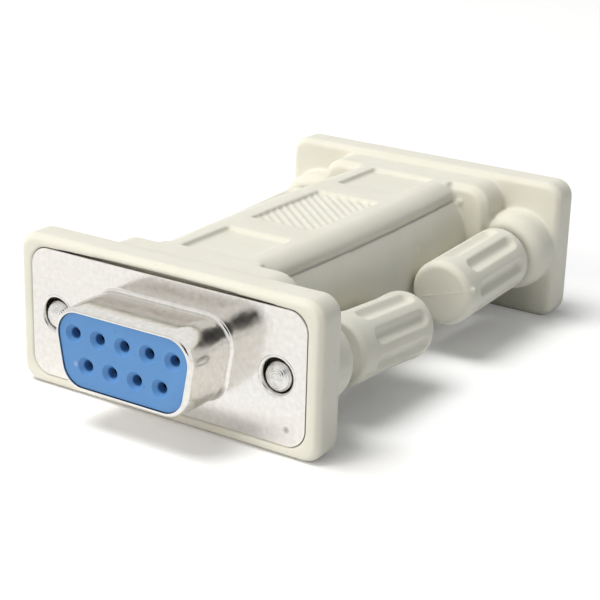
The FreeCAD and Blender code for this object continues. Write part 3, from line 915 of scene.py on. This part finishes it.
def thread_cut(angle, along):
    """How far the thread cuts in at an angle and a distance from the screw's tip."""
    phase = (along / THREAD_PITCH - angle / (2 * math.pi)) % 1.0
    flank = min(max(abs(2 * phase - 1) * THREAD_SLOPE - THREAD_ROOT, 0.0), 1.0)
    fade_in = min(max((along - TIP_LENGTH) / THREAD_PITCH, 0.0), 1.0)
    fade_out = min(max((THREAD_LENGTH - along) / THREAD_PITCH, 0.0), 1.0)
    return THREAD_DEPTH * (1 - flank) * min(fade_in, fade_out)


def screw_profile(radius, length):
    """(Radius, distance from the tip) pairs of a screw without its thread, from its tip to its end."""
    profile = []
    for sine, cosine in quarter(TIP_STEPS)[1:]:
        ripple = TIP_RIDGE_HEIGHT * math.sin(2 * math.pi * TIP_RIDGES * sine) * sine
        profile.append((radius * sine, TIP_LENGTH * (1 - cosine) + ripple * cosine))
    step = THREAD_PITCH / THREAD_ROWS_PER_TURN
    along = TIP_LENGTH + step
    while along < THREAD_LENGTH:
        profile.append((radius, along))
        along += step
    return profile + [(radius, THREAD_LENGTH), (radius, length)]


def screws():
    """Screws with a thread and a turned, domed tip, in place of the plain solids."""
    angles = [2 * math.pi * index / SCREW_SEGMENTS for index in range(SCREW_SEGMENTS)]
    for end in ACROSS:
        for side in SIDES:
            screw = Thumbscrew(end, side, "screw")
            rows = []
            for base, along in screw_profile(screw.radius, screw.length):
                reaches = [min(base, screw.radius - thread_cut(angle, along)) for angle in angles]
                rows.append([screw.point(angle, reach, along) for angle, reach in zip(angles, reaches)])
            vertices, faces = skin(rows, capped=True)
            faces.append(tuple(range(SCREW_SEGMENTS)))
            name = f"{end}_{side}_threaded_screw"
            piece = new_piece(name, meshed(name, vertices, faces), "screw_steel", f"{end}_{side}_screw_body")
            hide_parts(screw.node)


# Stage

def seen_directly(tree):
    """1 for what the camera sees, also in a reflection or through glass, and 0 for light on the object."""
    path = tree.nodes.new("ShaderNodeLightPath")
    seen = path.outputs["Is Camera Ray"]
    for kind in ("Is Glossy Ray", "Is Transmission Ray"):
        either = tree.nodes.new("ShaderNodeMath")
        either.operation = "MAXIMUM"
        tree.links.new(seen, either.inputs[0])
        tree.links.new(path.outputs[kind], either.inputs[1])
        seen = either.outputs["Value"]
    return seen


def dull_material(name, light, dark, period_mm):
    """Matte material that varies a little between two colours, with its tree and shader."""
    material, tree, shader, place = new_material(name)
    variation = between(tree, noise(tree, place, period_mm), 0.0, 1.0)
    tree.links.new(blend_colour(tree, variation, dark, light), shader.inputs["Base Color"])
    shader.inputs["Roughness"].default_value = DULL
    return material, tree, shader


def floor_material():
    """White table that keeps a soft grey shadow."""
    material, tree, shader = dull_material("floor_look", FLOOR_LIGHT, FLOOR_DARK, FLOOR_GRAIN_MM)
    shader.inputs["Specular IOR Level"].default_value = FLOOR_SHEEN
    shader.inputs["Emission Color"].default_value = WHITE
    lift = between(tree, seen_directly(tree), 0.0, FLOOR_GLOW, 0.0, 1.0)
    tree.links.new(lift, shader.inputs["Emission Strength"])
    return material


def add_sheet(name, corners, material):
    """Flat four-cornered thing of the studio, which isn't part of the adapter."""
    mesh = bpy.data.meshes.new(name)
    mesh.from_pydata([tuple(corner) for corner in corners], [], [(0, 1, 2, 3)])
    mesh.materials.append(material)
    sheet = new_object(name, mesh)
    return sheet


def add_floor():
    """Plain pale table under the adapter."""
    signs = [(-1, -1), (1, -1), (1, 1), (-1, 1)]
    add_sheet("floor", [(x * FLOOR_HALF, y * FLOOR_HALF, 0) for x, y in signs], floor_material())


def add_card(name, azimuth_deg, elevation_deg, half_size, light, dark):
    """Card that only shows in the metal's reflections, as the darker parts of the studio do."""
    elevation = math.radians(elevation_deg)
    level = level_towards(math.radians(azimuth_deg))
    towards = level * math.cos(elevation) + Vector((0, 0, math.sin(elevation)))
    sideways = towards.cross(Vector((0, 0, 1))).normalized()
    upwards = sideways.cross(towards) * half_size[1]
    sideways *= half_size[0]
    centre = Vector((0, FRONT_Y, AXIS_Z)) + towards * CARD_DISTANCE
    low = centre - upwards
    high = centre + upwards
    corners = [low - sideways, low + sideways, high + sideways, high - sideways]
    material, _, _ = dull_material(f"{name}_look", light, dark, CARD_WEAVE_MM)
    card = add_sheet(name, corners, material)
    card.visible_camera = False
    card.visible_diffuse = False
    card.visible_shadow = False


def add_softbox(name, place, size, energy, colour):
    """Area light that faces the adapter and isn't itself seen in its metal."""
    data = bpy.data.lights.new(name, "AREA")
    data.shape = "RECTANGLE"
    data.size, data.size_y = size
    data.energy = energy
    data.color = colour
    light = new_object(name, data)
    light.location = place
    aim = Vector((0, 0, AXIS_Z)) - light.location
    light.rotation_euler = aim.to_track_quat("-Z", "Y").to_euler()
    light.visible_glossy = False


def add_world():
    """Even dim sky that looks white to the camera and in reflections."""
    world = bpy.data.worlds.new("world")
    bpy.context.scene.world = world
    world.use_nodes = True
    tree = world.node_tree
    sky = tree.nodes["Background"]
    sky.inputs["Color"].default_value = SKY_COLOUR
    sky.inputs["Strength"].default_value = SKY_STRENGTH
    white = tree.nodes.new("ShaderNodeBackground")
    white.inputs["Color"].default_value = WHITE
    white.inputs["Strength"].default_value = 1.0
    mix = tree.nodes.new("ShaderNodeMixShader")
    tree.links.new(seen_directly(tree), mix.inputs["Fac"])
    tree.links.new(sky.outputs["Background"], mix.inputs[1])
    tree.links.new(white.outputs["Background"], mix.inputs[2])
    tree.links.new(mix.outputs["Shader"], tree.nodes["World Output"].inputs["Surface"])


materials = make_materials()
dress_frame()
jacket_moulding()
at_both_ends(shell_surface(), "drawn_shell", "shell_nickel", "socket_shell")
at_both_ends(insulator_surface(), "insulator_block", "insulator_plastic", "insulator")
eyelets()
knobs()
screws()
add_camera()
add_floor()
for card_name, card in CARDS.items():
    add_card(card_name, **card)
for light_name, softbox in SOFTBOXES.items():
    add_softbox(light_name, **softbox)
add_world()
bpy.context.scene.view_settings.view_transform = "Standard"
